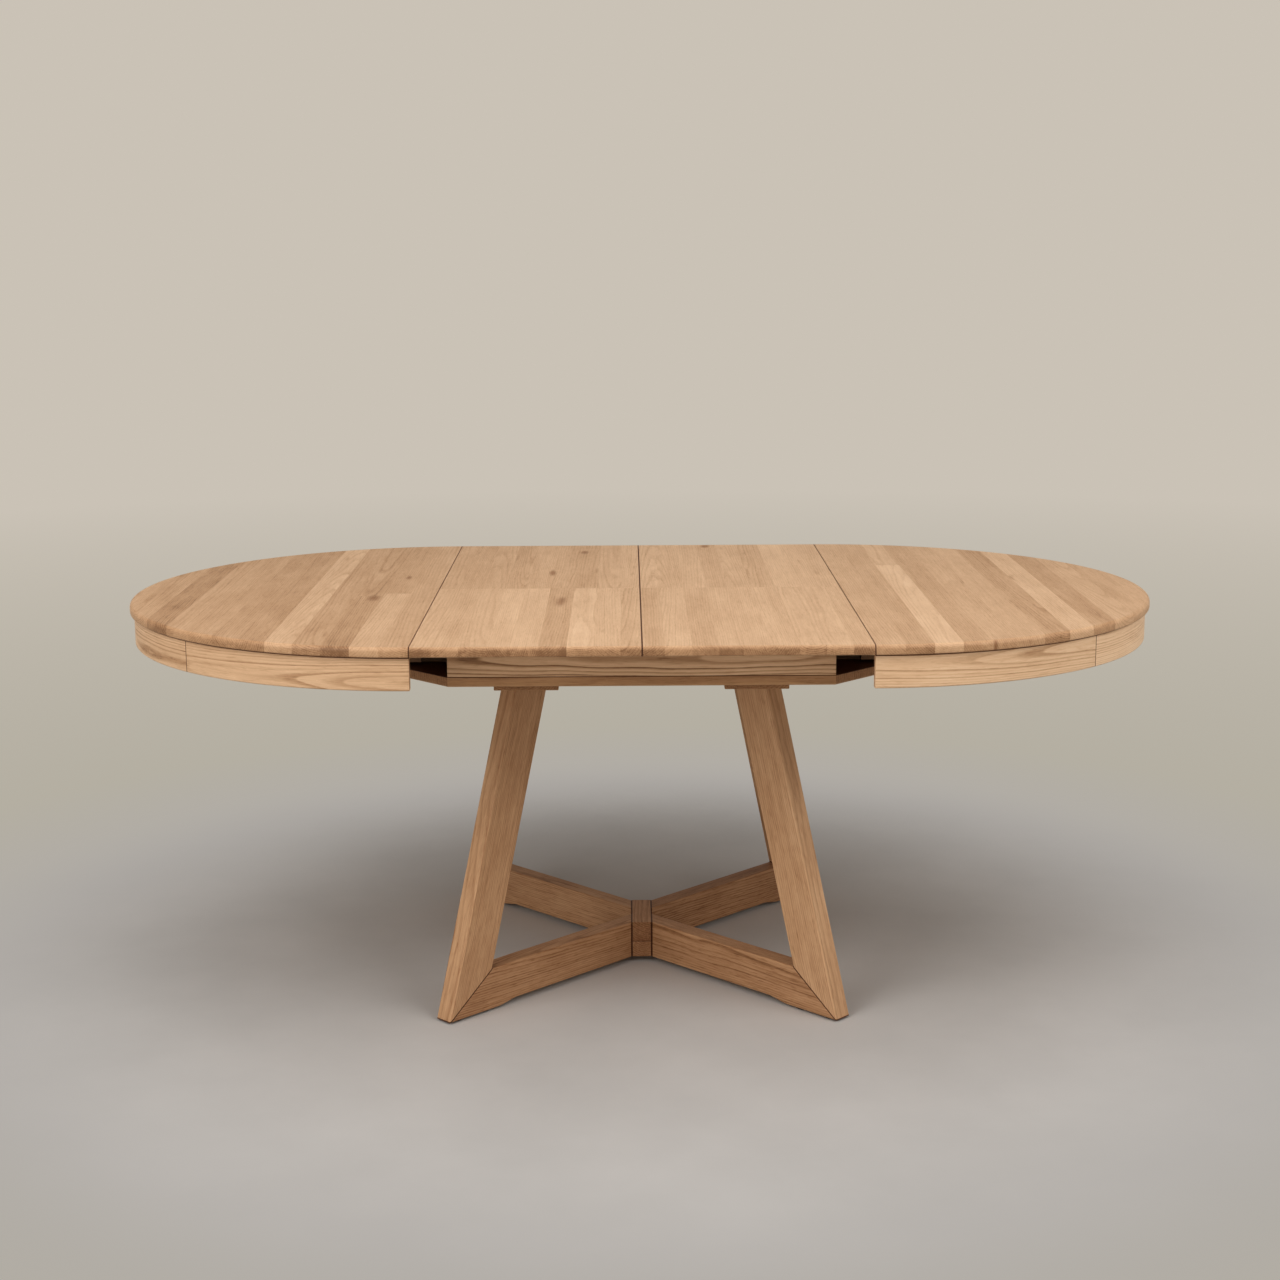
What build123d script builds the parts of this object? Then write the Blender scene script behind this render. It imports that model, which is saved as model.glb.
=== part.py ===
from build123d import *
import math
import os

# Round extending dining table in solid oak, drawn fully extended with both leaves in.
# Millimetres. Origin on the floor under the table's centre, +X along the extension, +Y to the
# rear, +Z up. Each half of the top slides along X; each leaf lifts out along Z.

# ---- Overall sizes ----
TABLE_HEIGHT = 755.0
TOP_DIAMETER = 1200.0
EXTENSION_PER_LEAF = 400.0

# ---- Top boards ----
TOP_THICKNESS = 18.0
TOP_UPPER_RADIUS = 8.0
TOP_LOWER_RADIUS = 3.0
SIDE_SEAM = 1.2
CENTRE_SEAM = 2.0
CLEAT_LENGTH = 340.0
CLEAT_WIDTH = 30.0
CLEAT_HEIGHT = 18.0
CLEAT_CLEARANCE = 2.0

# ---- Aprons ----
APRON_HEIGHT = 60.0
APRON_THICKNESS = 20.0
APRON_SETBACK = 8.0
APRON_EDGE_RADIUS = 2.5
APRON_ANGLE = 45.0
BLOCK_LENGTH = 40.0
BLOCK_DEPTH = 22.0
BLOCK_HEIGHT = 45.0

# ---- Fixed frame under the leaves ----
CORNER_CLEARANCE = 3.5
CORNER_CUT = 102.0
SLIDING_CLEARANCE = 6.0
PANEL_THICKNESS = 18.0
PANEL_EDGE_RADIUS = 4.0
RAIL_THICKNESS = 20.0
RAIL_EDGE_RADIUS = 1.0
GLIDE_WIDTH = 12.0
GLIDE_RECESS = 2.0
GLIDE_CLEARANCE = 0.2
BEAM_THICKNESS = 22.0
BEARER_THICKNESS = 22.0
BEARER_CLEARANCE = 12.0
BEARER_OVERHANG = 5.0
BEARER_START = 5.0
BATTEN_WIDTH = 118.0
BATTEN_LENGTH = 760.0
BATTEN_THICKNESS = 22.0
BATTEN_OFFSET = 6.0
BATTEN_EDGE_RADIUS = 2.0

# ---- Telescopic slides ----
SLIDE_HEIGHT = 45.0
SLIDE_THICKNESS = 12.7
SLIDE_START = 20.0
SLIDE_RETAINED = 20.0
SLIDE_SHEET = 1.2
BALL_GAP = 1.6
MIDDLE_WEB_OFFSET = 3.0
FLANGE_SETBACK = 1.7
INNER_FLANGE = 6.7

# ---- Base ----
MEMBER_THICKNESS = 40.0
LEG_WIDTH = 80.0
LEG_LEAN = 16.1
STRETCHER_HEIGHT = 80.0
FOOT_REACH = 546.0
FOOT_LENGTH = 118.0
RELIEF_RAMP = 45.0
RELIEF_HEIGHT = 8.0
MEMBER_EDGE_RADIUS = 3.0
HUB_WIDTH = 40.0
HUB_LENGTH = 144.0
HUB_LOWER_HEIGHT = 32.0
HUB_EDGE_RADIUS = 2.5
FELT_THICKNESS = 3.0
FELT_DIAMETER = 30.0
FELT_INSET = 10.0

# ---- Joinery and fasteners ----
JOINERY_FIT = 0.1
HUB_DOWEL_DIAMETER = 10.0
HUB_DOWEL_LENGTH = 100.0
HUB_DOWEL_INSET = 17.0
TENON_WIDTH = 22.0
TENON_THICKNESS = 10.0
TENON_LENGTH = 50.0
BOLT_DIAMETER = 8.0
BOLT_LENGTH = 70.0
BOLT_HOLE_GAP = 0.5
BOLT_HEAD_ACROSS_FLATS = 13.0
BOLT_HEAD_HEIGHT = 5.0
BOLT_FLANGE_DIAMETER = 17.0
BOLT_FLANGE_HEIGHT = 1.5
BOLT_POCKET_DIAMETER = 24.0
BOLT_POCKET_DEPTH = 8.0
BOLT_SPACING = 36.0
BOLT_SHIFT = 6.0
INSERT_DIAMETER = 12.0
INSERT_LENGTH = 25.0
PANEL_SCREW_LENGTH = 38.0
PANEL_SCREW_DIAMETER = 4.5
PANEL_SCREW_HEAD = 9.0
PANEL_SCREW_MARGIN = 40.0
PANEL_SCREW_COUNT = 5
BATTEN_SCREW_INSET = 19.0
BATTEN_SCREW_END_MARGIN = 30.0
BATTEN_SCREW_ROWS = 4
BEARER_SCREW_LENGTH = 62.0
BEARER_SCREW_DIAMETER = 5.0
BEARER_SCREW_HEAD = 10.0
BEARER_SCREW_POCKET = 10.0
BEARER_SCREW_MARGIN = 30.0
BEARER_SCREW_COUNT = 3
SLIDE_SCREW_LENGTH = 16.0
SLIDE_SCREW_DIAMETER = 3.5
SLIDE_SCREW_HEAD = 7.5
SLIDE_SCREW_HEAD_HEIGHT = 1.2
SLIDE_SCREW_MARGIN = 55.0
SLIDE_SCREW_COUNT = 3
SCREW_RIM = 0.4
RECESS_DIAMETER_SHARE = 0.55
RECESS_DEPTH = 1.8
TIP_LENGTH = 4.0

# ---- Levels and places that follow ----
TOP_RADIUS = TOP_DIAMETER / 2
UNDERSIDE = TABLE_HEIGHT - TOP_THICKNESS
HALF_EDGE = EXTENSION_PER_LEAF + SIDE_SEAM / 2
LEAF_OUTER = EXTENSION_PER_LEAF - SIDE_SEAM / 2
LEAF_INNER = CENTRE_SEAM / 2
TRAVEL = HALF_EDGE - LEAF_INNER
APRON_OUTER = TOP_RADIUS - APRON_SETBACK
APRON_INNER = APRON_OUTER - APRON_THICKNESS
APRON_BOTTOM = UNDERSIDE - APRON_HEIGHT

PANEL_TOP = APRON_BOTTOM - SLIDING_CLEARANCE
PANEL_BOTTOM = PANEL_TOP - PANEL_THICKNESS
BATTEN_BOTTOM = PANEL_BOTTOM - BATTEN_THICKNESS
CORNER_REACH = APRON_INNER - CORNER_CLEARANCE
PANEL_HALF = (CORNER_CUT + math.sqrt(2 * CORNER_REACH ** 2 - CORNER_CUT ** 2)) / 2
PANEL_FLAT = PANEL_HALF - CORNER_CUT
RAIL_TOP = UNDERSIDE - GLIDE_RECESS

SLIDE_LENGTH = TRAVEL + SLIDE_RETAINED
SLIDE_END = SLIDE_START + SLIDE_LENGTH
BEARER_END = SLIDE_END + BEARER_OVERHANG
BEARER_REACH = APRON_INNER - BEARER_CLEARANCE
BEARER_OUTER_Y = min(PANEL_FLAT, math.sqrt(BEARER_REACH ** 2 - BEARER_END ** 2))
BEARER_INNER_Y = BEARER_OUTER_Y - BEARER_THICKNESS
BEAM_OUTER_Y = BEARER_INNER_Y - SLIDE_THICKNESS
BEAM_MIDDLE_Y = BEAM_OUTER_Y - BEAM_THICKNESS / 2
RAIL_MIDDLE_Y = PANEL_HALF - RAIL_THICKNESS / 2
SLIDE_MIDDLE_Z = (PANEL_TOP + UNDERSIDE) / 2

FOOT_BOTTOM = FELT_THICKNESS
MEMBER_TOP = FOOT_BOTTOM + STRETCHER_HEIGHT
RELIEF_LEVEL = FOOT_BOTTOM + RELIEF_HEIGHT
LEAN_SLOPE = math.tan(math.radians(LEG_LEAN))
LEG_LEVEL_WIDTH = LEG_WIDTH / math.cos(math.radians(LEG_LEAN))
MITRE_FOOT = Vector(FOOT_REACH, FOOT_BOTTOM)
MITRE_INNER = Vector(FOOT_REACH - STRETCHER_HEIGHT * LEAN_SLOPE - LEG_LEVEL_WIDTH, MEMBER_TOP)
MITRE_ALONG = (MITRE_INNER - MITRE_FOOT).normalized()
MITRE_MIDDLE = (MITRE_FOOT + MITRE_INNER) * 0.5
LEG_TOP_REACH = FOOT_REACH - (BATTEN_BOTTOM - FOOT_BOTTOM) * LEAN_SLOPE - LEG_LEVEL_WIDTH / 2
DIAGONAL = math.sqrt(0.5)
FRAME_FACE = (HUB_WIDTH - HUB_LENGTH) / 2 * DIAGONAL
FRAME_MIDDLE = FRAME_FACE + MEMBER_THICKNESS / 2
BATTEN_X = (LEG_TOP_REACH + FRAME_MIDDLE) * DIAGONAL - BATTEN_OFFSET
BEYOND = 60.0

SIDES = {"left": -1, "right": 1}
ENDS = {"front": -1, "rear": 1}
UPWARD = (Align.CENTER, Align.CENTER, Align.MIN)
DOWNWARD = (Align.CENTER, Align.CENTER, Align.MAX)


# ---- Fasteners ----

def countersunk_screw(length, diameter, head, fit=0.0):
    """Wood screw down -Z, its flat head's face at the origin; fit > 0 gives its hole."""
    shank = diameter / 2 + fit
    rim = head / 2 + fit
    depth = rim - shank
    profile = Polyline(
        (0, fit), (rim, fit), (rim, -SCREW_RIM), (shank, -SCREW_RIM - depth),
        (shank, TIP_LENGTH - length), (0, -length - fit), close=True,
    )
    screw = revolve(Plane.XZ * make_face(profile), Axis.Z)
    if fit == 0:
        recess = extrude(RegularPolygon(head / 2 * RECESS_DIAMETER_SHARE, 6), -RECESS_DEPTH)
        screw -= recess
    return screw


def pan_screw(fit=0.0):
    """Short screw down -Z that holds a slide member, its flat head standing on the origin."""
    shank = SLIDE_SCREW_DIAMETER / 2 + fit
    rim = SLIDE_SCREW_HEAD / 2
    profile = Polyline(
        (0, SLIDE_SCREW_HEAD_HEIGHT), (rim, SLIDE_SCREW_HEAD_HEIGHT), (rim, 0), (shank, 0),
        (shank, TIP_LENGTH - SLIDE_SCREW_LENGTH), (0, -SLIDE_SCREW_LENGTH - fit), close=True,
    )
    return revolve(Plane.XZ * make_face(profile), Axis.Z)


def spread(first, last, count):
    """Evenly spaced places from first to last."""
    return [first + (last - first) * i / (count - 1) for i in range(count)]


def group(shapes):
    """Separate identical solids as one compound."""
    return Compound(children=[shape.solid() for shape in shapes])


# ---- Base: four leaning legs mitred to four stretchers that meet a hub ----

def frame_plane(side, end):
    """Vertical plane of one leg frame: local x runs outward to the foot, local y is up."""
    return Plane(
        origin=(0, 0, 0), x_dir=(side * DIAGONAL, end * DIAGONAL, 0),
        z_dir=(end * DIAGONAL, -side * DIAGONAL, 0),
    )


def frame_middle(side, end):
    """Distance of the frame's mid-plane from the diagonal, along the frame plane's normal."""
    return FRAME_MIDDLE * side * end


def frame_prism(side, end, points):
    """Outline in a frame's plane, run well past both faces of the timber."""
    face = make_face(Polyline(*points, close=True))
    placed = frame_plane(side, end).offset(frame_middle(side, end)) * face
    return extrude(placed, MEMBER_THICKNESS, both=True)


def frame_point(side, end, reach, level):
    """World point on the mid-plane of a frame."""
    plane = frame_plane(side, end)
    return plane.from_local_coords((reach, level, frame_middle(side, end)))


def rounded_bar(side, end, start, along, width):
    """Timber of the frames' thickness with rounded arrises, from start along a direction."""
    plane = frame_plane(side, end)
    axis = plane.from_local_coords((along.X, along.Y, 0))
    across = plane.from_local_coords((-along.Y, along.X, 0))
    section_plane = Plane(origin=frame_point(side, end, start.X, start.Y), x_dir=across, z_dir=axis)
    section = section_plane * RectangleRounded(width, MEMBER_THICKNESS, MEMBER_EDGE_RADIUS)
    return extrude(section, 2 * TABLE_HEIGHT, both=True)


def mitre_tenon(side, end, fit=0.0):
    """Loose tenon square to the mitre between leg and stretcher."""
    plane = frame_plane(side, end)
    normal = plane.from_local_coords((-MITRE_ALONG.Y, MITRE_ALONG.X, 0))
    along = plane.from_local_coords((MITRE_ALONG.X, MITRE_ALONG.Y, 0))
    centre = frame_point(side, end, MITRE_MIDDLE.X, MITRE_MIDDLE.Y)
    section = SlotOverall(TENON_WIDTH + 2 * fit, TENON_THICKNESS + 2 * fit)
    placed = Plane(origin=centre, x_dir=along, z_dir=normal) * section
    return extrude(placed, TENON_LENGTH / 2 + fit, both=True)


def bolt_places(side, end):
    """World x, y of the two bolts that hold one leg."""
    reaches = [LEG_TOP_REACH + BOLT_SHIFT + shift for shift in (-BOLT_SPACING / 2, BOLT_SPACING / 2)]
    return [frame_point(side, end, reach, 0) for reach in reaches]


def bolt_cylinders(side, end, radius, top, bottom):
    """Upright cylinders on one leg's bolt lines."""
    height = top - bottom
    blank = Cylinder(radius, height, align=UPWARD)
    return [Pos(place.X, place.Y, bottom) * blank for place in bolt_places(side, end)]


def all_legs():
    """Side and end of each leg."""
    return [(side, end) for side in SIDES.values() for end in ENDS.values()]


def leg(side, end):
    lean = Vector(-LEAN_SLOPE, 1).normalized()
    inward = Vector(-LEG_LEVEL_WIDTH / 2, 0)
    bar = rounded_bar(side, end, MITRE_FOOT + inward, lean, LEG_WIDTH)
    low = MITRE_FOOT - MITRE_ALONG * BEYOND
    high = MITRE_INNER + MITRE_ALONG * BEYOND
    clip = frame_prism(side, end, [
        (low.X, low.Y), (high.X, high.Y), (0, high.Y), (0, BATTEN_BOTTOM), (low.X, BATTEN_BOTTOM),
    ])
    shape = bar & clip
    shape -= mitre_tenon(side, end, JOINERY_FIT)
    insert_bottom = BATTEN_BOTTOM - INSERT_LENGTH
    shape -= bolt_cylinders(side, end, INSERT_DIAMETER / 2 + JOINERY_FIT, BATTEN_BOTTOM, insert_bottom)
    hole_bottom = PANEL_TOP - BOLT_POCKET_DEPTH - BOLT_LENGTH - BOLT_HOLE_GAP
    radius = BOLT_DIAMETER / 2 + BOLT_HOLE_GAP
    shape -= bolt_cylinders(side, end, radius, insert_bottom, hole_bottom)
    return shape


def hub_dowel(end, level, fit=0.0):
    place = Pos(0, end * (HUB_LENGTH / 2 - HUB_DOWEL_INSET), level)
    return place * Rot(0, 90, 0) * Cylinder(HUB_DOWEL_DIAMETER / 2 + fit, HUB_DOWEL_LENGTH + 2 * fit)


def dowel_levels():
    """Mid-heights of the hub's two laminations."""
    lamination = RELIEF_LEVEL + HUB_LOWER_HEIGHT
    return [(RELIEF_LEVEL + lamination) / 2, (lamination + MEMBER_TOP) / 2]


def stretcher(side, end):
    middle = Vector(0, FOOT_BOTTOM + STRETCHER_HEIGHT / 2)
    bar = rounded_bar(side, end, middle, Vector(1, 0), STRETCHER_HEIGHT)
    low = MITRE_FOOT - MITRE_ALONG * BEYOND
    high = MITRE_INNER + MITRE_ALONG * BEYOND
    ramp_outer = FOOT_REACH - FOOT_LENGTH
    ramp_inner = ramp_outer - RELIEF_RAMP
    overrun = RELIEF_RAMP * FOOT_BOTTOM / RELIEF_HEIGHT
    clip = frame_prism(side, end, [
        (low.X, low.Y), (high.X, high.Y), (-HUB_LENGTH, high.Y), (-HUB_LENGTH, RELIEF_LEVEL),
        (ramp_inner, RELIEF_LEVEL), (ramp_outer + overrun, 0), (FOOT_REACH, 0),
    ])
    shape = bar & clip
    length = 2 * FOOT_REACH
    keep = Pos(side * (HUB_WIDTH / 2 + length / 2), end * length / 2, 0) * Box(length, length, length)
    shape = shape & keep
    shape -= mitre_tenon(side, end, JOINERY_FIT)
    shape -= [hub_dowel(end, level, JOINERY_FIT) for level in dowel_levels()]
    return shape


def hub_block(bottom, top):
    block = Pos(0, 0, (bottom + top) / 2) * Box(HUB_WIDTH, HUB_LENGTH, top - bottom)
    block = fillet(block.edges().filter_by(Axis.Z), HUB_EDGE_RADIUS)
    block -= [hub_dowel(end, level, JOINERY_FIT) for end in ENDS.values() for level in dowel_levels()]
    return block


def felt_pads():
    half = FELT_DIAMETER / 2
    outer = FOOT_REACH - FELT_INSET - half
    inner = FOOT_REACH - FOOT_LENGTH + FELT_INSET + half
    pads = []
    for side, end in all_legs():
        for reach in (outer, inner):
            place = frame_point(side, end, reach, FELT_THICKNESS / 2)
            pads.append(Pos(*place) * Cylinder(half, FELT_THICKNESS))
    return group(pads)


def leg_bolts():
    seat = PANEL_TOP - BOLT_POCKET_DEPTH
    hexagon = RegularPolygon(BOLT_HEAD_ACROSS_FLATS / 2, 6, major_radius=False)
    head = Pos(0, 0, BOLT_FLANGE_HEIGHT) * extrude(hexagon, BOLT_HEAD_HEIGHT)
    flange = Cylinder(BOLT_FLANGE_DIAMETER / 2, BOLT_FLANGE_HEIGHT, align=UPWARD)
    shank = Cylinder(BOLT_DIAMETER / 2, BOLT_LENGTH, align=DOWNWARD)
    bolt = flange + head + shank
    places = [place for side, end in all_legs() for place in bolt_places(side, end)]
    return group([Pos(place.X, place.Y, seat) * bolt for place in places])


def leg_inserts():
    inserts = []
    bottom = BATTEN_BOTTOM - INSERT_LENGTH
    bore_radius = BOLT_DIAMETER / 2 + JOINERY_FIT
    for side, end in all_legs():
        outers = bolt_cylinders(side, end, INSERT_DIAMETER / 2, BATTEN_BOTTOM, bottom)
        bores = bolt_cylinders(side, end, bore_radius, BATTEN_BOTTOM, bottom)
        inserts += [outer - bore for outer, bore in zip(outers, bores)]
    return group(inserts)


# ---- Fixed frame: battens, panel, rails and beams ----

def batten_screws(fit=0.0):
    """Screws down through the panel into the battens."""
    screw = countersunk_screw(PANEL_SCREW_LENGTH, PANEL_SCREW_DIAMETER, PANEL_SCREW_HEAD, fit)
    last = BATTEN_LENGTH / 2 - BATTEN_SCREW_END_MARGIN
    shift = BATTEN_WIDTH / 2 - BATTEN_SCREW_INSET
    places = []
    for side in SIDES.values():
        for across in (-shift, shift):
            for y in spread(-last, last, BATTEN_SCREW_ROWS):
                places.append(Pos(side * BATTEN_X + across, y, PANEL_TOP))
    return [place * screw for place in places]


def upright_screws(fit=0.0):
    """Screws up through the panel into the rails and the beams."""
    blank = countersunk_screw(PANEL_SCREW_LENGTH, PANEL_SCREW_DIAMETER, PANEL_SCREW_HEAD, fit)
    screw = Rot(180, 0, 0) * blank
    screws = []
    for middle, half in ((RAIL_MIDDLE_Y, PANEL_FLAT), (BEAM_MIDDLE_Y, min(SLIDE_END, PANEL_HALF))):
        last = half - PANEL_SCREW_MARGIN
        for end in ENDS.values():
            for x in spread(-last, last, PANEL_SCREW_COUNT):
                screws.append(Pos(x, end * middle, PANEL_BOTTOM) * screw)
    return screws


def bolt_holes():
    """Clearance holes for the leg bolts through panel and battens, with pockets for the heads."""
    holes = []
    radius = BOLT_DIAMETER / 2 + BOLT_HOLE_GAP
    for side, end in all_legs():
        holes += bolt_cylinders(side, end, radius, PANEL_TOP, BATTEN_BOTTOM)
        seat = PANEL_TOP - BOLT_POCKET_DEPTH
        holes += bolt_cylinders(side, end, BOLT_POCKET_DIAMETER / 2, PANEL_TOP, seat)
    return holes


def batten(side):
    middle = (BATTEN_BOTTOM + PANEL_BOTTOM) / 2
    shape = Pos(side * BATTEN_X, 0, middle) * Box(BATTEN_WIDTH, BATTEN_LENGTH, BATTEN_THICKNESS)
    shape = fillet(shape.faces().sort_by(Axis.Z)[0].edges(), BATTEN_EDGE_RADIUS)
    shape -= bolt_holes()
    shape -= batten_screws(JOINERY_FIT)
    return shape


def base_panel():
    """Square panel with its corners cut at 45 degrees, rounded under its edge."""
    half = PANEL_HALF
    flat = PANEL_FLAT
    outline = Polyline(
        (flat, -half), (half, -flat), (half, flat), (flat, half),
        (-flat, half), (-half, flat), (-half, -flat), (-flat, -half), close=True,
    )
    shape = Pos(0, 0, PANEL_BOTTOM) * extrude(make_face(outline), PANEL_THICKNESS)
    shape = fillet(shape.faces().sort_by(Axis.Z)[0].edges(), PANEL_EDGE_RADIUS)
    shape -= bolt_holes()
    shape -= batten_screws(JOINERY_FIT)
    shape -= upright_screws(JOINERY_FIT)
    return shape


def rail(end):
    height = RAIL_TOP - PANEL_TOP
    place = Pos(0, end * RAIL_MIDDLE_Y, PANEL_TOP + height / 2)
    shape = place * Box(2 * PANEL_FLAT, RAIL_THICKNESS, height)
    shape = fillet(shape.edges().filter_by(Axis.Z), RAIL_EDGE_RADIUS)
    return shape - upright_screws(JOINERY_FIT)


def beam(end):
    height = RAIL_TOP - PANEL_TOP
    place = Pos(0, end * BEAM_MIDDLE_Y, PANEL_TOP + height / 2)
    shape = place * Box(2 * SLIDE_END, BEAM_THICKNESS, height)
    shape -= upright_screws(JOINERY_FIT)
    shape -= [screw for side in SIDES.values() for screw in outer_slide_screws(side, end, JOINERY_FIT)]
    return shape


def glide_strips():
    thickness = GLIDE_RECESS - GLIDE_CLEARANCE
    strips = []
    for end in ENDS.values():
        place = Pos(0, end * RAIL_MIDDLE_Y, RAIL_TOP + thickness / 2)
        strips.append(place * Box(2 * PANEL_FLAT - GLIDE_WIDTH, GLIDE_WIDTH, thickness))
    return group(strips)


# ---- Telescopic slides: one long fixed channel, and a middle and an inner member a side ----

def channel(end, start, finish, web, reach, height):
    """Channel along X. web and reach are distances of its web and lips from the beam's face."""
    low = min(web, reach)
    depth = abs(reach - web)
    middle = BEAM_OUTER_Y + low + depth / 2
    place = Pos((start + finish) / 2, end * middle, SLIDE_MIDDLE_Z)
    outer = place * Box(abs(finish - start), depth, height)
    inside = height - 2 * SLIDE_SHEET
    step = SLIDE_SHEET if reach > web else -SLIDE_SHEET
    hollow = place * Pos(0, end * step, 0) * Box(abs(finish - start), depth, inside)
    return outer - hollow


def inner_height(height):
    """Height of the member that runs inside a channel."""
    return height - 2 * (SLIDE_SHEET + BALL_GAP)


def slide_screw_places(side, shift):
    """X places of one member's screws; shift moves them with the member."""
    first = SLIDE_START + SLIDE_SCREW_MARGIN
    last = SLIDE_END - SLIDE_SCREW_MARGIN
    return [side * (x + shift) for x in spread(first, last, SLIDE_SCREW_COUNT)]


def outer_slide_screws(side, end, fit=0.0):
    screw = Rot(-end * 90, 0, 0) * pan_screw(fit)
    y = end * (BEAM_OUTER_Y + SLIDE_SHEET)
    return [Pos(x, y, SLIDE_MIDDLE_Z) * screw for x in slide_screw_places(side, 0)]


def inner_slide_screws(side, end, fit=0.0):
    screw = Rot(end * 90, 0, 0) * pan_screw(fit)
    y = end * (BEARER_INNER_Y - SLIDE_SHEET)
    return [Pos(x, y, SLIDE_MIDDLE_Z) * screw for x in slide_screw_places(side, TRAVEL)]


def slide_outer(end):
    shape = channel(end, -SLIDE_END, SLIDE_END, 0, SLIDE_THICKNESS - FLANGE_SETBACK, SLIDE_HEIGHT)
    shape -= [screw for side in SIDES.values() for screw in outer_slide_screws(side, end, JOINERY_FIT)]
    return shape


def slide_middle(side, end):
    shift = TRAVEL / 2
    start = side * (SLIDE_START + shift)
    finish = side * (SLIDE_END + shift)
    reach = SLIDE_THICKNESS - FLANGE_SETBACK
    return channel(end, start, finish, MIDDLE_WEB_OFFSET, reach, inner_height(SLIDE_HEIGHT))


def slide_inner(side, end):
    start = side * (SLIDE_START + TRAVEL)
    finish = side * (SLIDE_END + TRAVEL)
    height = inner_height(inner_height(SLIDE_HEIGHT))
    shape = channel(end, start, finish, SLIDE_THICKNESS, SLIDE_THICKNESS - INNER_FLANGE, height)
    shape -= inner_slide_screws(side, end, JOINERY_FIT)
    return shape


# ---- Sliding halves of the top ----

def top_disc():
    """Full round top about the Z axis, its rim rounded over and under."""
    disc = Pos(0, 0, UNDERSIDE) * Cylinder(TOP_RADIUS, TOP_THICKNESS, align=UPWARD)
    rims = disc.edges().filter_by(GeomType.CIRCLE).sort_by(Axis.Z)
    disc = fillet(rims[-1], TOP_UPPER_RADIUS)
    rims = disc.edges().filter_by(GeomType.CIRCLE).sort_by(Axis.Z)
    return fillet(rims[0], TOP_LOWER_RADIUS)


def half_keep(side):
    """Everything on one half's side of its seam, about the half's own centre."""
    size = 2 * TOP_DIAMETER
    return Pos(side * (size + SIDE_SEAM) / 2, 0, 0) * Box(size, size, size)


def on_half(side):
    """Place of a half's centre when the table is extended."""
    return Pos(side * EXTENSION_PER_LEAF, 0, 0)


def half_top(side):
    shape = on_half(side) * (top_disc() & half_keep(side))
    return shape - bearer_screws(side, JOINERY_FIT)


def apron_ring():
    outer = Cylinder(APRON_OUTER, APRON_HEIGHT, align=UPWARD)
    inner = Cylinder(APRON_INNER, APRON_HEIGHT, align=UPWARD)
    ring = Pos(0, 0, APRON_BOTTOM) * (outer - inner)
    rims = ring.edges().filter_by(GeomType.CIRCLE).group_by(Axis.Z)[0]
    return fillet(rims, APRON_EDGE_RADIUS)


def wedge(start, finish):
    """Tall wedge about the Z axis between two bearings in degrees."""
    corners = [Vector(TOP_DIAMETER, 0).rotate(Axis.Z, bearing) for bearing in (start, finish)]
    face = make_face(Polyline((0, 0), *corners, close=True))
    return extrude(face, TABLE_HEIGHT)


def apron_segment(side, end, corner):
    """One sawn segment: the one that ends at the seam, or the corner one beside it."""
    first = end * (90 - APRON_ANGLE * corner)
    last = first - end * APRON_ANGLE
    if side < 0:
        first, last = 180 - first, 180 - last
    piece = apron_ring() & wedge(first, last)
    return on_half(side) * (piece & half_keep(side))


def apron_blocks(side):
    """Glue blocks under the top, one behind each joint between two segments."""
    blocks = []
    level = UNDERSIDE - BLOCK_HEIGHT / 2
    curve = Pos(0, 0, level) * Cylinder(APRON_INNER - JOINERY_FIT, BLOCK_HEIGHT)
    block = Box(BLOCK_DEPTH, BLOCK_LENGTH, BLOCK_HEIGHT)
    block = Pos(APRON_INNER - BLOCK_DEPTH / 2, 0, level) * block
    for bearing in (-APRON_ANGLE, 0, APRON_ANGLE):
        turn = Rot(0, 0, bearing if side > 0 else 180 - bearing)
        blocks.append(on_half(side) * (turn * block & curve))
    return group(blocks)


def bearer_screws(side, fit=0.0):
    """Long screws up through the bearers into the top."""
    blank = countersunk_screw(BEARER_SCREW_LENGTH, BEARER_SCREW_DIAMETER, BEARER_SCREW_HEAD, fit)
    screw = Rot(180, 0, 0) * blank
    first = BEARER_START + TRAVEL + BEARER_SCREW_MARGIN
    last = BEARER_END + TRAVEL - BEARER_SCREW_MARGIN
    middle = BEARER_OUTER_Y - BEARER_THICKNESS / 2
    level = APRON_BOTTOM + BEARER_SCREW_POCKET
    places = [Pos(side * x, end * middle, level) for end in ENDS.values()
              for x in spread(first, last, BEARER_SCREW_COUNT)]
    return [place * screw for place in places]


def bearer_pockets(side):
    """Pockets that let the long screws' heads into the bearers."""
    radius = BEARER_SCREW_HEAD / 2 + 2 * JOINERY_FIT
    pocket = Cylinder(radius, BEARER_SCREW_POCKET, align=DOWNWARD)
    return [Pos(*screw.location.position) * pocket for screw in bearer_screws(side)]


def bearer(side, end):
    length = BEARER_END - BEARER_START
    x = side * (BEARER_START + TRAVEL + length / 2)
    y = end * (BEARER_OUTER_Y - BEARER_THICKNESS / 2)
    shape = Pos(x, y, UNDERSIDE - APRON_HEIGHT / 2) * Box(length, BEARER_THICKNESS, APRON_HEIGHT)
    shape -= bearer_screws(side, JOINERY_FIT)
    shape -= bearer_pockets(side)
    shape -= inner_slide_screws(side, end, JOINERY_FIT)
    return shape


# ---- Leaves ----

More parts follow.
